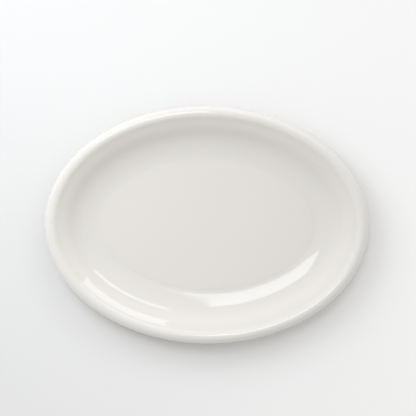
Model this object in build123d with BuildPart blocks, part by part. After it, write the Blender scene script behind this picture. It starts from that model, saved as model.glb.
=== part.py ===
from build123d import *
import os
from math import cos, radians, sin

# An oval china serving platter, lying on its foot ring, +Z up. The origin is on the table under the
# platter's middle, and X runs along its length. All sizes are millimetres.
#
# The rim, the wall and the foot ring have one cross-section all the way round. It is drawn once, with
# x = 0 at the glazed outer edge and x < 0 towards the middle, and y as the height above the table.
# The edge is an oval of eight tangent arcs, and the section is turned about the centre of each arc.

os.makedirs("parts", exist_ok=True)

# Overall size, over the glaze
platter_length = 300.0
platter_width = 220.0
glaze = 0.3

# The oval edge: where its arcs meet, as angles from the X axis, and the radius of the middle arcs
end_half_angle = 35.0
side_start_angle = 65.0
shoulder_arc_radius = 130.0

# The china under the glaze: floor, and how far in from the edge the plain flat floor begins
floor_thickness = 4.6
flat_floor_inset = 55.0

# Upper face, from the rolled edge inwards: radius of each arc, and the slope where two arcs meet
roll_radius = 6.2
crease_slope = 39.0
rim_hollow_radius = 29.8
rim_slope = 30.0
rim_shoulder_radius = 46.4
wall_slope = 42.0
cove_top_radius = 33.0
cove_slope = 20.0
cove_foot_radius = 56.5
floor_corner_slope = 5.0
floor_corner_radius = 8.0

# Underside, from the edge inwards: the lower half of the roll, the neck behind it and the plain wall
under_roll_radius = 4.2
under_roll_slope = 55.0
neck_radius = 3.0
under_wall_slope = 38.0
under_cove_radius = 42.4

# Foot ring: its bearing face is bare china, ground flat
foot_height = 2.8
foot_inset = 43.0
foot_base_width = 4.0
foot_root_width = 6.0
foot_edge_radius = 0.8
foot_root_radius = 1.2
glaze_line = 1.0


def fall(radius, slope_a, slope_b):
    """How far an arc of this radius comes down between two slopes, in degrees."""
    return radius * abs(cos(radians(slope_a)) - cos(radians(slope_b)))


underside_height = foot_height
floor_height = underside_height + floor_thickness
edge_height = (
    floor_height
    + fall(floor_corner_radius, floor_corner_slope, 0)
    + fall(cove_foot_radius, cove_slope, floor_corner_slope)
    + fall(cove_top_radius, wall_slope, cove_slope)
    + fall(rim_shoulder_radius, rim_slope, wall_slope)
    + fall(rim_hollow_radius, crease_slope, rim_slope)
    - roll_radius * cos(radians(crease_slope))
)
neck_end_height = (
    edge_height
    - (under_roll_radius + neck_radius) * cos(radians(under_roll_slope))
    + neck_radius * cos(radians(under_wall_slope))
)
under_wall_fall = neck_end_height - underside_height - fall(under_cove_radius, under_wall_slope, 0)
under_wall_length = under_wall_fall / sin(radians(under_wall_slope))


def edge_arcs():
    """Centre, radius, start angle and sweep of the edge's eight arcs, from the +X end, anticlockwise."""
    half_length = platter_length / 2
    half_width = platter_width / 2
    cos_end = cos(radians(end_half_angle))
    sin_end = sin(radians(end_half_angle))
    cos_side = cos(radians(side_start_angle))
    sin_side = sin(radians(side_start_angle))

    # The side arcs' centres lie on the Y axis, and the arcs reach the platter's width: two equations
    # for the radii of the end arcs and of the side arcs.
    lean = (1 - sin_side) / cos_side
    reach = half_length - shoulder_arc_radius * (cos_end - cos_side)
    end_radius = (half_width - shoulder_arc_radius * (sin_side - sin_end) - lean * reach) / (
        sin_end - lean * (1 - cos_end)
    )
    side_radius = (reach - end_radius * (1 - cos_end)) / cos_side

    end_centre = Vector(half_length - end_radius, 0)
    shoulder_centre = end_centre + Vector(cos_end, sin_end) * (end_radius - shoulder_arc_radius)
    far_shoulder_centre = Vector(-shoulder_centre.X, shoulder_centre.Y)
    side_centre = Vector(0, half_width - side_radius)
    shoulder_sweep = side_start_angle - end_half_angle
    half_oval = (
        (end_centre, end_radius, -end_half_angle, 2 * end_half_angle),
        (shoulder_centre, shoulder_arc_radius, end_half_angle, shoulder_sweep),
        (side_centre, side_radius, side_start_angle, 180 - 2 * side_start_angle),
        (far_shoulder_centre, shoulder_arc_radius, 180 - side_start_angle, shoulder_sweep),
    )
    return [
        (centre.rotate(Axis.Z, turn), radius, start + turn, sweep)
        for turn in (0, 180)
        for centre, radius, start, sweep in half_oval
    ]


def turn_round_oval(section):
    """Adds the solid that the section makes when it goes once round the oval edge."""
    for centre, radius, start, sweep in edge_arcs():
        outward = Vector(cos(radians(start)), sin(radians(start)))
        edge_plane = Plane(centre + outward * radius, x_dir=outward, z_dir=outward.rotate(Axis.Z, -90))
        with BuildSketch(edge_plane) as arc_start:
            add(section.sketch)
        revolve(arc_start.sketch, axis=Axis(centre, (0, 0, 1)), revolution_arc=sweep)


def oval_plate(height, inset, thickness):
    """Adds a flat oval plate whose outline lies this far in from the platter's edge."""
    with BuildSketch(Plane.XY.offset(height)) as outline:
        with BuildLine():
            for centre, radius, start, sweep in edge_arcs():
                CenterArc(centre, radius - inset, start, sweep)
        make_face()
    extrude(outline.sketch, amount=thickness)


# The china's section: one closed outline, then the foot ring joined to it with soft corners
with BuildSketch() as body_section:
    with BuildLine():
        edge = (-glaze, edge_height)
        roll = JernArc(edge, (0, 1), roll_radius, 90 + crease_slope)
        hollow = JernArc(roll @ 1, roll % 1, rim_hollow_radius, rim_slope - crease_slope)
        shoulder = JernArc(hollow @ 1, hollow % 1, rim_shoulder_radius, wall_slope - rim_slope)
        cove_top = JernArc(shoulder @ 1, shoulder % 1, cove_top_radius, cove_slope - wall_slope)
        cove_foot = JernArc(
            cove_top @ 1, cove_top % 1, cove_foot_radius, floor_corner_slope - cove_slope
        )
        floor_corner = JernArc(
            cove_foot @ 1, cove_foot % 1, floor_corner_radius, -floor_corner_slope
        )
        under_roll = JernArc(edge, (0, -1), under_roll_radius, -90 - under_roll_slope)
        neck = JernArc(under_roll @ 1, under_roll % 1, neck_radius, under_roll_slope + under_wall_slope)
        under_wall = PolarLine(neck @ 1, under_wall_length, direction=neck % 1)
        under_cove = JernArc(under_wall @ 1, under_wall % 1, under_cove_radius, -under_wall_slope)
        Polyline(
            floor_corner @ 1,
            (-flat_floor_inset, floor_height),
            (-flat_floor_inset, underside_height),
            under_cove @ 1,
        )
    make_face()
    with BuildLine():
        Polyline(
            (-foot_inset - foot_base_width / 2, 0),
            (-foot_inset + foot_base_width / 2, 0),
            (-foot_inset + foot_root_width / 2, floor_height - foot_height / 2),
            (-foot_inset - foot_root_width / 2, floor_height - foot_height / 2),
            close=True,
        )
    make_face()
    foot_edges = body_section.vertices().filter_by_position(Axis.Y, 0, 0)
    fillet(foot_edges, foot_edge_radius)
    foot_roots = (
        body_section.vertices()
        .filter_by_position(Axis.X, -foot_inset - foot_root_width / 2, -foot_inset + foot_root_width / 2)
        .filter_by_position(Axis.Y, underside_height, floor_height)
    )
    fillet(foot_roots, foot_root_radius)

# The glaze's section: a skin over the china, stopping short of the face that the platter stands on
with BuildSketch() as glaze_section:
    offset(body_section.sketch, amount=glaze)
    add(body_section.sketch, mode=Mode.SUBTRACT)
    with Locations((-platter_width / 2 - flat_floor_inset, 0)):
        Rectangle(platter_width, platter_width, mode=Mode.SUBTRACT)
    with Locations((-foot_inset, glaze_line - foot_height)):
        Rectangle(2 * foot_root_width, 2 * foot_height, mode=Mode.SUBTRACT)

with BuildSketch() as outer_glaze_section:
    add(glaze_section.faces().sort_by(SortBy.AREA)[-1])

with BuildSketch() as base_glaze_section:
    add(glaze_section.faces().sort_by(SortBy.AREA)[0])

with BuildPart() as china_body:
    turn_round_oval(body_section)
    oval_plate(underside_height, flat_floor_inset, floor_thickness)

with BuildPart() as face_glaze:
    turn_round_oval(outer_glaze_section)
    oval_plate(floor_height, flat_floor_inset, glaze)

with BuildPart() as base_glaze:
    turn_round_oval(base_glaze_section)
    oval_plate(underside_height - glaze, flat_floor_inset, glaze)

for piece, name in (
    (china_body, "china_body"),
    (face_glaze, "face_glaze"),
    (base_glaze, "base_glaze"),
):
    piece.part.label = name
    export_step(piece.part, f"parts/{name}.step")
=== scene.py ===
import math

import bpy
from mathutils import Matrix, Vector, noise


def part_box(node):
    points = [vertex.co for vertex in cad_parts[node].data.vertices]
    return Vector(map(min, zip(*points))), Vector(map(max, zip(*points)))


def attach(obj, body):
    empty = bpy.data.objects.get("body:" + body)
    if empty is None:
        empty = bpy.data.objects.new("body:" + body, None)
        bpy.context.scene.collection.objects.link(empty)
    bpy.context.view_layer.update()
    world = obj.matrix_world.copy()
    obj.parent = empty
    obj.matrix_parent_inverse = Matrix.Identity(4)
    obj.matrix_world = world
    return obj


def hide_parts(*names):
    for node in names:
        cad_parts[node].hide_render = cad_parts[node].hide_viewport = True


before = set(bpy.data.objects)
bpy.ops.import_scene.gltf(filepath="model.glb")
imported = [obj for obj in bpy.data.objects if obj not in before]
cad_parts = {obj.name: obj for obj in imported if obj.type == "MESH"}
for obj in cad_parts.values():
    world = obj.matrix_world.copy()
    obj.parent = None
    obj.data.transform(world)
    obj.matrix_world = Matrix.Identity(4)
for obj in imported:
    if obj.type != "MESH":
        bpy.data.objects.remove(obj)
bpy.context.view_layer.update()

# An oval china serving platter, lying on its foot ring. Every surface comes from one section, drawn
# as straight runs and tangent arcs with x outwards from the china's edge and y up, and carried round
# the oval at a constant distance from its edge.

MM = 0.001

# The china's section, with slopes in degrees from level. The glaze lies on top of it
GLAZE = 0.3 * MM
ROLL_RADIUS = 6.2 * MM
CREASE_SLOPE = 39.0
HOLLOW_RADIUS = 29.8 * MM
RIM_SLOPE = 30.0
SHOULDER_RADIUS = 46.4 * MM
WALL_SLOPE = 42.0
COVE_TOP_RADIUS = 33.0 * MM
COVE_SLOPE = 20.0
COVE_FOOT_RADIUS = 56.5 * MM
CORNER_SLOPE = 5.0
CORNER_RADIUS = 8.0 * MM
UNDER_ROLL_RADIUS = 4.2 * MM
UNDER_ROLL_SLOPE = 55.0
NECK_RADIUS = 3.0 * MM
UNDER_WALL_SLOPE = 38.0
UNDER_COVE_RADIUS = 42.4 * MM
FOOT_HEIGHT = 2.8 * MM
FOOT_ROOT_SLOPE = 10.6
FOOT_SIDE_SLOPE = 80.5
FOOT_ROOT_RADIUS = 1.2 * MM
FOOT_EDGE_RADIUS = 0.8 * MM
FOOT_BEARING_WIDTH = 2.6 * MM
GLAZE_LINE = 1.0 * MM

# How finely the surfaces are drawn, with arcs stepped in degrees
TURNS = 480
ARC_STEP = 3.0
FLAT_STEP = 3.0 * MM

# Rings as far in as this keep their distance from the edge, and the rest shrink towards the middle
PARALLEL_INSET = 52.0 * MM

# How far the fired platter strays from the drawing. The seed keeps the wander the same each time
WARP = 0.12 * MM
WARP_WAVE = 55.0 * MM
WARP_SEED = 1

# The table top reaches this far to each side, and fades out between the other two distances
TABLE_REACH = 12.0
FADE_START = 0.5
FADE_END = 9.0

# The studio: how strong its light is from the dimmest and from the brightest side
STUDIO_DIM = 0.527
STUDIO_BRIGHT = 1.385
BRIGHT_SIDE = (-0.06, 0.50, -0.86)
STUDIO_COLOUR = (1.0, 0.994, 0.976, 1.0)
LAMP_COLOUR = (0.96, 1.0, 1.055)

# The camera: its lens and sensor in millimetres, the share of the frame's width that the platter
# takes, how far the camera stands off the platter's middle, and its roll in degrees
LENS = 85.0
SENSOR_WIDTH = 36.0
PLATTER_SHARE = 0.776
CAMERA_SIDEWAYS = 1.1 * MM
CAMERA_UPWARDS = 15.6 * MM
CAMERA_ROLL = 0.8

# A mix node's sockets for colours
COLOUR_A = 6
COLOUR_B = 7
MIXED_COLOUR = 2


class Pen:
    """Draws a section and keeps, at each point, the heading and the curvature (positive is convex).

    inside is 1 where the piece lies to the left of the pen's way, and -1 where it lies to the right.
    """

    def __init__(self, x, y, heading, inside):
        self.x = x
        self.y = y
        self.heading = math.radians(heading)
        self.inside = inside
        self.points = []
        self.mark(0.0)

    def mark(self, curvature):
        self.points.append((self.x, self.y, self.heading, curvature))

    def run(self, length):
        steps = max(1, round(length / FLAT_STEP))
        for _ in range(steps):
            self.x += math.cos(self.heading) * length / steps
            self.y += math.sin(self.heading) * length / steps
            self.mark(0.0)

    def bend(self, radius, degrees):
        steps = max(3, round(abs(degrees) / ARC_STEP))
        side = math.copysign(1.0, degrees)
        middle_x = self.x - side * radius * math.sin(self.heading)
        middle_y = self.y + side * radius * math.cos(self.heading)
        for _ in range(steps):
            self.heading += math.radians(degrees) / steps
            self.x = middle_x + side * radius * math.sin(self.heading)
            self.y = middle_y - side * radius * math.cos(self.heading)
            self.mark(side * self.inside / radius)

    def skin(self, thickness):
        """The drawn points moved outwards by this thickness."""
        return [
            (
                x + self.inside * thickness * math.sin(heading),
                y - self.inside * thickness * math.cos(heading),
                heading,
                curvature,
            )
            for x, y, heading, curvature in self.points
        ]


def fall(radius, slope_a, slope_b):
    """How far an arc of this radius comes down between two slopes, in degrees."""
    return radius * abs(math.cos(math.radians(slope_a)) - math.cos(math.radians(slope_b)))


half_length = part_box("china_body")[1].x
half_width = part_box("china_body")[1].y
edge_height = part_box("china_body")[1].z - ROLL_RADIUS


def face_section():
    """The china's upper side, from its edge over the roll and down the wall to the middle."""
    pen = Pen(0.0, edge_height, 90.0, 1)
    pen.bend(ROLL_RADIUS, 90.0 + CREASE_SLOPE)
    pen.bend(HOLLOW_RADIUS, RIM_SLOPE - CREASE_SLOPE)
    pen.bend(SHOULDER_RADIUS, WALL_SLOPE - RIM_SLOPE)
    pen.bend(COVE_TOP_RADIUS, COVE_SLOPE - WALL_SLOPE)
    pen.bend(COVE_FOOT_RADIUS, CORNER_SLOPE - COVE_SLOPE)
    pen.bend(CORNER_RADIUS, -CORNER_SLOPE)
    pen.run(half_width + pen.x)
    return pen


def back_section():
    """The china's underside, from its edge under the roll and down to the glaze line on the foot."""
    pen = Pen(0.0, edge_height, -90.0, -1)
    pen.bend(UNDER_ROLL_RADIUS, -90.0 - UNDER_ROLL_SLOPE)
    pen.bend(NECK_RADIUS, UNDER_ROLL_SLOPE + UNDER_WALL_SLOPE)
    wall_fall = pen.y - FOOT_HEIGHT - fall(UNDER_COVE_RADIUS, UNDER_WALL_SLOPE, 0.0)
    pen.run(wall_fall / math.sin(math.radians(UNDER_WALL_SLOPE)))
    pen.bend(UNDER_COVE_RADIUS, FOOT_ROOT_SLOPE - UNDER_WALL_SLOPE)
    pen.bend(FOOT_ROOT_RADIUS, FOOT_SIDE_SLOPE - FOOT_ROOT_SLOPE)
    pen.run((pen.y - GLAZE_LINE) / math.sin(math.radians(FOOT_SIDE_SLOPE)))
    return pen


def foot_section(start):
    """The bare foot, from the outer glaze line round the bearing face to the inner glaze line."""
    pen = Pen(start[0], start[1], 180.0 + FOOT_SIDE_SLOPE, -1)
    side = GLAZE_LINE - fall(FOOT_EDGE_RADIUS, FOOT_SIDE_SLOPE, 0.0)
    pen.run(side / math.sin(math.radians(FOOT_SIDE_SLOPE)))
    pen.bend(FOOT_EDGE_RADIUS, -FOOT_SIDE_SLOPE)
    pen.run(FOOT_BEARING_WIDTH)
    pen.bend(FOOT_EDGE_RADIUS, -FOOT_SIDE_SLOPE)
    pen.run(side / math.sin(math.radians(FOOT_SIDE_SLOPE)))
    return pen


def recess_section(start):
    """The china inside the foot, from the inner glaze line up to the recess and to the middle."""
    pen = Pen(start[0], start[1], 180.0 - FOOT_SIDE_SLOPE, -1)
    rise = FOOT_HEIGHT - GLAZE_LINE - fall(FOOT_ROOT_RADIUS, FOOT_SIDE_SLOPE, 0.0)
    pen.run(rise / math.sin(math.radians(FOOT_SIDE_SLOPE)))
    pen.bend(FOOT_ROOT_RADIUS, FOOT_SIDE_SLOPE)
    pen.run(half_width + pen.x)
    return pen


def rounded_end(tip, bare):
    """The glaze's rounded edge, as points on a half circle from its skin to the bare china."""
    middle_x = (tip[0] + bare[0]) / 2
    middle_y = (tip[1] + bare[1]) / 2
    arm_x = (tip[0] - bare[0]) / 2
    arm_y = (tip[1] - bare[1]) / 2
    steps = 6
    made = []
    for step in range(1, steps):
        turn = math.pi * step / steps
        drop = math.hypot(arm_x, arm_y) * math.sin(turn)
        made.append(
            (middle_x + arm_x * math.cos(turn), middle_y + arm_y * math.cos(turn) - drop, 0.0, 1 / GLAZE)
        )
    return made


def oval_ring(inset):
    """Points round the oval this far in from the china's edge. Past the wall the rings shrink."""
    parallel = min(inset, PARALLEL_INSET)
    shrink = 1.0 - max(0.0, inset - PARALLEL_INSET) / (half_width - PARALLEL_INSET)
    made = []
    for turn in range(TURNS):
        angle = 2 * math.pi * turn / TURNS
        out = Vector((math.cos(angle) / half_length, math.sin(angle) / half_width)).normalized()
        x = half_length * math.cos(angle) - out.x * parallel
        y = half_width * math.sin(angle) - out.y * parallel
        made.append((x * shrink, y * shrink))
    return made


def strayed(point):
    """The point moved as firing moves it: a slow wander that leaves the foot's face level."""
    wander = noise.noise_vector(point / WARP_WAVE) * WARP
    fade = min(1.0, max(0.0, point.z / (4 * FOOT_HEIGHT)))
    return point + Vector((wander.x, wander.y, wander.z * fade))


def carried_round(name, section):
    """A closed mesh whose section runs from the middle, round an edge and back to the middle."""
    rings = section[1:-1]
    points = []
    for x, y, _, _ in rings:
        for px, py in oval_ring(-x):
            points.append(strayed(Vector((px, py, y))))
    first = len(points)
    points.append(strayed(Vector((0.0, 0.0, section[0][1]))))
    last = len(points)
    points.append(strayed(Vector((0.0, 0.0, section[-1][1]))))
    faces = []
    for ring in range(len(rings) - 1):
        low = ring * TURNS
        for turn in range(TURNS):
            after = (turn + 1) % TURNS
            faces.append((low + turn, low + after, low + TURNS + after, low + TURNS + turn))
    end = (len(rings) - 1) * TURNS
    for turn in range(TURNS):
        after = (turn + 1) % TURNS
        faces.append((first, after, turn))
        faces.append((last, end + turn, end + after))
    mesh = bpy.data.meshes.new(name)
    mesh.from_pydata(points, [], faces)
    mesh.shade_smooth()
    thin = mesh.attributes.new("thin", "FLOAT", "POINT")
    values = [curvature * ROLL_RADIUS for _, _, _, curvature in rings for _ in range(TURNS)]
    thin.data.foreach_set("value", values + [0.0, 0.0])
    made = bpy.data.objects.new(name, mesh)
    bpy.context.scene.collection.objects.link(made)
    return made


class Shader:
    """A material's node tree, with short calls for the few nodes that the finishes use."""

    def __init__(self, name):
        self.material = bpy.data.materials.new(name)
        self.material.use_nodes = True
        self.nodes = self.material.node_tree.nodes
        self.links = self.material.node_tree.links
        self.surface = self.nodes["Principled BSDF"]
        self.place = self.nodes.new("ShaderNodeTexCoord").outputs["Object"]

    def put(self, value, socket):
        """Links the socket to another one, or gives it a constant."""
        if isinstance(value, bpy.types.NodeSocket):
            self.links.new(value, socket)
        else:
            socket.default_value = value

    def noise(self, scale, detail=2.0, stretch=(1.0, 1.0, 1.0)):
        mapping = self.nodes.new("ShaderNodeMapping")
        mapping.inputs["Scale"].default_value = stretch
        self.links.new(self.place, mapping.inputs["Vector"])
        node = self.nodes.new("ShaderNodeTexNoise")
        node.inputs["Scale"].default_value = scale
        node.inputs["Detail"].default_value = detail
        self.links.new(mapping.outputs["Vector"], node.inputs["Vector"])
        return node.outputs["Fac"]

    def specks(self, scale, radius):
        """1 inside scattered round specks, 0 elsewhere."""
        node = self.nodes.new("ShaderNodeTexVoronoi")
        node.inputs["Scale"].default_value = scale
        self.links.new(self.place, node.inputs["Vector"])
        return self.ramp(node.outputs["Distance"], radius * scale, radius * scale * 0.5)

    def ramp(self, value, low, high, out_low=0.0, out_high=1.0):
        node = self.nodes.new("ShaderNodeMapRange")
        self.put(value, node.inputs["Value"])
        node.inputs["From Min"].default_value = low
        node.inputs["From Max"].default_value = high
        node.inputs["To Min"].default_value = out_low
        node.inputs["To Max"].default_value = out_high
        return node.outputs["Result"]

    def math(self, operation, a, b):
        node = self.nodes.new("ShaderNodeMath")
        node.operation = operation
        self.put(a, node.inputs[0])
        self.put(b, node.inputs[1])
        return node.outputs["Value"]

    def mix(self, factor, a, b):
        node = self.nodes.new("ShaderNodeMix")
        node.data_type = "RGBA"
        self.put(factor, node.inputs["Factor"])
        self.put(a, node.inputs[COLOUR_A])
        self.put(b, node.inputs[COLOUR_B])
        return node.outputs[MIXED_COLOUR]

    def along(self, axis):
        """How far the point lies along the object's axis."""
        node = self.nodes.new("ShaderNodeSeparateXYZ")
        self.links.new(self.place, node.inputs["Vector"])
        return node.outputs[axis]

    def attribute(self, name):
        node = self.nodes.new("ShaderNodeAttribute")
        node.attribute_name = name
        return node.outputs["Fac"]

    def bump(self, height, distance, before=None):
        node = self.nodes.new("ShaderNodeBump")
        node.inputs["Distance"].default_value = distance
        self.put(height, node.inputs["Height"])
        if before is not None:
            self.links.new(before, node.inputs["Normal"])
        return node.outputs["Normal"]


def glazed_china():
    """White china under a clear gloss glaze: thin on the roll, pooled in the cove, slightly rippled."""
    plain = (0.748, 0.720, 0.684, 1.0)
    pooled = (0.733, 0.710, 0.677, 1.0)
    thin = (0.764, 0.742, 0.712, 1.0)
    clouded = (0.70, 0.69, 0.67, 1.0)
    speck = (0.50, 0.45, 0.39, 1.0)
    cloud_strength = 0.12
    speck_strength = 0.25
    speck_radius = 0.22 * MM
    polished = 0.055
    scuffed = 0.11
    ripple_depth = 0.10 * MM
    peel_depth = 0.008 * MM
    refraction = 1.52

    shader = Shader("white_glaze")
    curved = shader.attribute("thin")
    colour = shader.mix(shader.ramp(curved, 0.0, -0.4), plain, pooled)
    colour = shader.mix(shader.ramp(curved, 0.0, 1.0), colour, thin)
    cloud = shader.ramp(shader.noise(22.0, 3.0), 0.3, 0.7)
    colour = shader.mix(shader.math("MULTIPLY", cloud, cloud_strength), colour, clouded)
    rare = shader.ramp(shader.noise(60.0, 0.0), 0.66, 0.70)
    specks = shader.math("MULTIPLY", shader.specks(90.0, speck_radius), rare)
    colour = shader.mix(shader.math("MULTIPLY", specks, speck_strength), colour, speck)
    shader.put(colour, shader.surface.inputs["Base Color"])
    wear = shader.noise(140.0, 4.0, (1.0, 0.25, 1.0))
    shader.put(shader.ramp(wear, 0.45, 0.8, polished, scuffed), shader.surface.inputs["Roughness"])
    shader.surface.inputs["IOR"].default_value = refraction
    ripple = shader.bump(shader.noise(38.0, 1.0), ripple_depth)
    peel = shader.bump(shader.noise(320.0, 1.0), peel_depth, ripple)
    shader.put(peel, shader.surface.inputs["Normal"])
    return shader.material


def bare_china():
    """Fired china without glaze: matt, fine-grained, and greyed where the foot rubs on the table."""
    clean = (0.74, 0.70, 0.635, 1.0)
    grain = (0.66, 0.615, 0.545, 1.0)
    worn = (0.50, 0.475, 0.44, 1.0)
    worn_height = 0.35 * MM
    grain_depth = 0.05 * MM

    shader = Shader("bare_china")
    fine = shader.ramp(shader.noise(1800.0, 3.0), 0.35, 0.65)
    colour = shader.mix(fine, clean, grain)
    touching = shader.ramp(shader.along("Z"), worn_height, 0.0)
    patchy = shader.ramp(shader.noise(70.0, 5.0), 0.42, 0.62, 0.15, 0.8)
    colour = shader.mix(shader.math("MULTIPLY", touching, patchy), colour, worn)
    shader.put(colour, shader.surface.inputs["Base Color"])
    shader.put(shader.ramp(fine, 0.0, 1.0, 0.72, 0.9), shader.surface.inputs["Roughness"])
    shader.put(shader.bump(shader.noise(1400.0, 4.0), grain_depth), shader.surface.inputs["Normal"])
    return shader.material


def pale_floor():
    """A matt, nearly white table top with painted shade towards its left, fading into the pale studio
    far from the platter.
    """
    pale = (0.966, 0.960, 0.955, 1.0)
    paler = (0.988, 0.982, 0.976, 1.0)
    # Painted shade: the darker colour that the table top is given on its left, standing in for less
    # light there
    painted_left_shade = (0.745, 0.742, 0.737, 1.0)
    painted_shade_reach = 0.25

    shader = Shader("pale_floor")
    cloud = shader.ramp(shader.noise(1.5, 2.0), 0.3, 0.7)
    colour = shader.mix(cloud, pale, paler)
    # Painted shade: the colour darkens from right to left across the middle, as if less light fell on
    # the left
    painted_shade = shader.ramp(shader.along("X"), painted_shade_reach, -painted_shade_reach)
    shader.put(shader.mix(painted_shade, colour, painted_left_shade), shader.surface.inputs["Base Color"])
    shader.surface.inputs["Roughness"].default_value = 0.8
    shader.surface.inputs["Specular IOR Level"].default_value = 0.1

    # The fade goes with one over the distance, which is how a table's depth looks from near its top
    reach = shader.nodes.new("ShaderNodeVectorMath")
    reach.operation = "LENGTH"
    shader.links.new(shader.place, reach.inputs[0])
    nearness = shader.math("DIVIDE", 1.0, reach.outputs["Value"])
    clear = shader.nodes.new("ShaderNodeBsdfTransparent")
    fade = shader.nodes.new("ShaderNodeMixShader")
    shader.put(shader.ramp(nearness, 1 / FADE_START, 1 / FADE_END), fade.inputs["Fac"])
    shader.links.new(shader.surface.outputs["BSDF"], fade.inputs[1])
    shader.links.new(clear.outputs["BSDF"], fade.inputs[2])
    output = shader.nodes["Material Output"]
    shader.links.new(fade.outputs["Shader"], output.inputs["Surface"])
    return shader.material


def build_platter():
    face = face_section()
    back = back_section()
    foot = foot_section(back.points[-1])
    recess = recess_section(foot.points[-1])
    inner_face = face.points[::-1]
    outer_face = face.skin(GLAZE)[::-1]
    inner_back = back.points[1:]
    outer_back = back.skin(GLAZE)[1:]
    inner_recess = recess.points
    outer_recess = recess.skin(GLAZE)

    body = carried_round(
        "platter_china", inner_face + inner_back + foot.points[1:] + inner_recess[1:]
    )
    glaze_edge = rounded_end(outer_back[-1], inner_back[-1])
    face_glaze = carried_round(
        "platter_face_glaze",
        outer_face + outer_back + glaze_edge + inner_back[::-1] + inner_face[::-1],
    )
    base_edge = rounded_end(outer_recess[0], inner_recess[0])
    base_glaze = carried_round(
        "platter_base_glaze", inner_recess[::-1] + base_edge[::-1] + outer_recess
    )
    china = bare_china()
    glaze = glazed_china()
    for piece, node, slot, material in (
        (body, "china_body", "bare_china", china),
        (face_glaze, "face_glaze", "white_glaze", glaze),
        (base_glaze, "base_glaze", "white_glaze", glaze),
    ):
        piece.data.materials.append(material)
        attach(piece, "root")
        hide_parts(node)


def build_floor():
    mesh = bpy.data.meshes.new("floor")
    corners = [
        (-TABLE_REACH, -TABLE_REACH, 0.0),
        (TABLE_REACH, -TABLE_REACH, 0.0),
        (TABLE_REACH, TABLE_REACH, 0.0),
        (-TABLE_REACH, TABLE_REACH, 0.0),
    ]
    mesh.from_pydata(corners, [], [(0, 1, 2, 3)])
    mesh.materials.append(pale_floor())
    floor = bpy.data.objects.new("floor", mesh)
    bpy.context.scene.collection.objects.link(floor)


def softbox(name, place, turn, width, height, radiance):
    """A rectangular area light at place, turned by three angles in degrees, lighting along its -Z."""
    data = bpy.data.lights.new(name, "AREA")
    data.shape = "RECTANGLE"
    data.size = width
    data.size_y = height
    data.energy = radiance * math.pi * width * height
    data.color = LAMP_COLOUR
    lamp = bpy.data.objects.new(name, data)
    lamp.location = place
    lamp.rotation_euler = [math.radians(angle) for angle in turn]
    lamp.visible_camera = False
    bpy.context.scene.collection.objects.link(lamp)


def build_lights():
    """Two large softboxes that the glaze mirrors, and a small near lamp that it doesn't."""
    softbox(
        "left_softbox",
        place=(-0.619, 0.946, 2.667),
        turn=(-31.2, 50.5, -22.0),
        width=2.092,
        height=0.830,
        radiance=3.75,
    )
    softbox(
        "right_softbox",
        place=(0.778, 1.589, 1.306),
        turn=(-112.4, 0.9, -26.7),
        width=1.051,
        height=0.688,
        radiance=2.55,
    )
    softbox(
        "near_fill",
        place=(-0.38, 0.33, 0.46),
        turn=(-28.9, -39.6, 0.0),
        width=0.4,
        height=0.4,
        radiance=2.95,
    )
    bpy.data.objects["near_fill"].visible_glossy = False


def build_world():
    """Pale all round, brighter towards the back and the horizon, as in a white studio."""
    world = bpy.data.worlds.new("studio")
    world.use_nodes = True
    bpy.context.scene.world = world
    nodes = world.node_tree.nodes
    links = world.node_tree.links
    place = nodes.new("ShaderNodeTexCoord")
    towards = nodes.new("ShaderNodeVectorMath")
    towards.operation = "DOT_PRODUCT"
    towards.inputs[1].default_value = Vector(BRIGHT_SIDE).normalized()
    links.new(place.outputs["Generated"], towards.inputs[0])
    light = nodes.new("ShaderNodeMapRange")
    light.inputs["From Min"].default_value = -1.0
    light.inputs["From Max"].default_value = 1.0
    light.inputs["To Min"].default_value = STUDIO_DIM
    light.inputs["To Max"].default_value = STUDIO_BRIGHT
    links.new(towards.outputs["Value"], light.inputs["Value"])
    background = nodes["Background"]
    background.inputs["Color"].default_value = STUDIO_COLOUR
    links.new(light.outputs["Result"], background.inputs["Strength"])


def build_camera():
    """Straight above the platter, framed a little above its middle, with a slight roll."""
    data = bpy.data.cameras.new("camera")
    data.lens = LENS
    data.sensor_width = SENSOR_WIDTH
    camera = bpy.data.objects.new("camera", data)
    distance = 2 * half_length * LENS / (SENSOR_WIDTH * PLATTER_SHARE)
    camera.location = (CAMERA_SIDEWAYS, CAMERA_UPWARDS, edge_height + distance)
    camera.rotation_euler = (0.0, 0.0, math.radians(CAMERA_ROLL))
    bpy.context.scene.collection.objects.link(camera)
    bpy.context.scene.camera = camera


noise.seed_set(WARP_SEED)
build_platter()
build_floor()
build_lights()
build_world()
build_camera()
bpy.context.scene.view_settings.view_transform = "Standard"
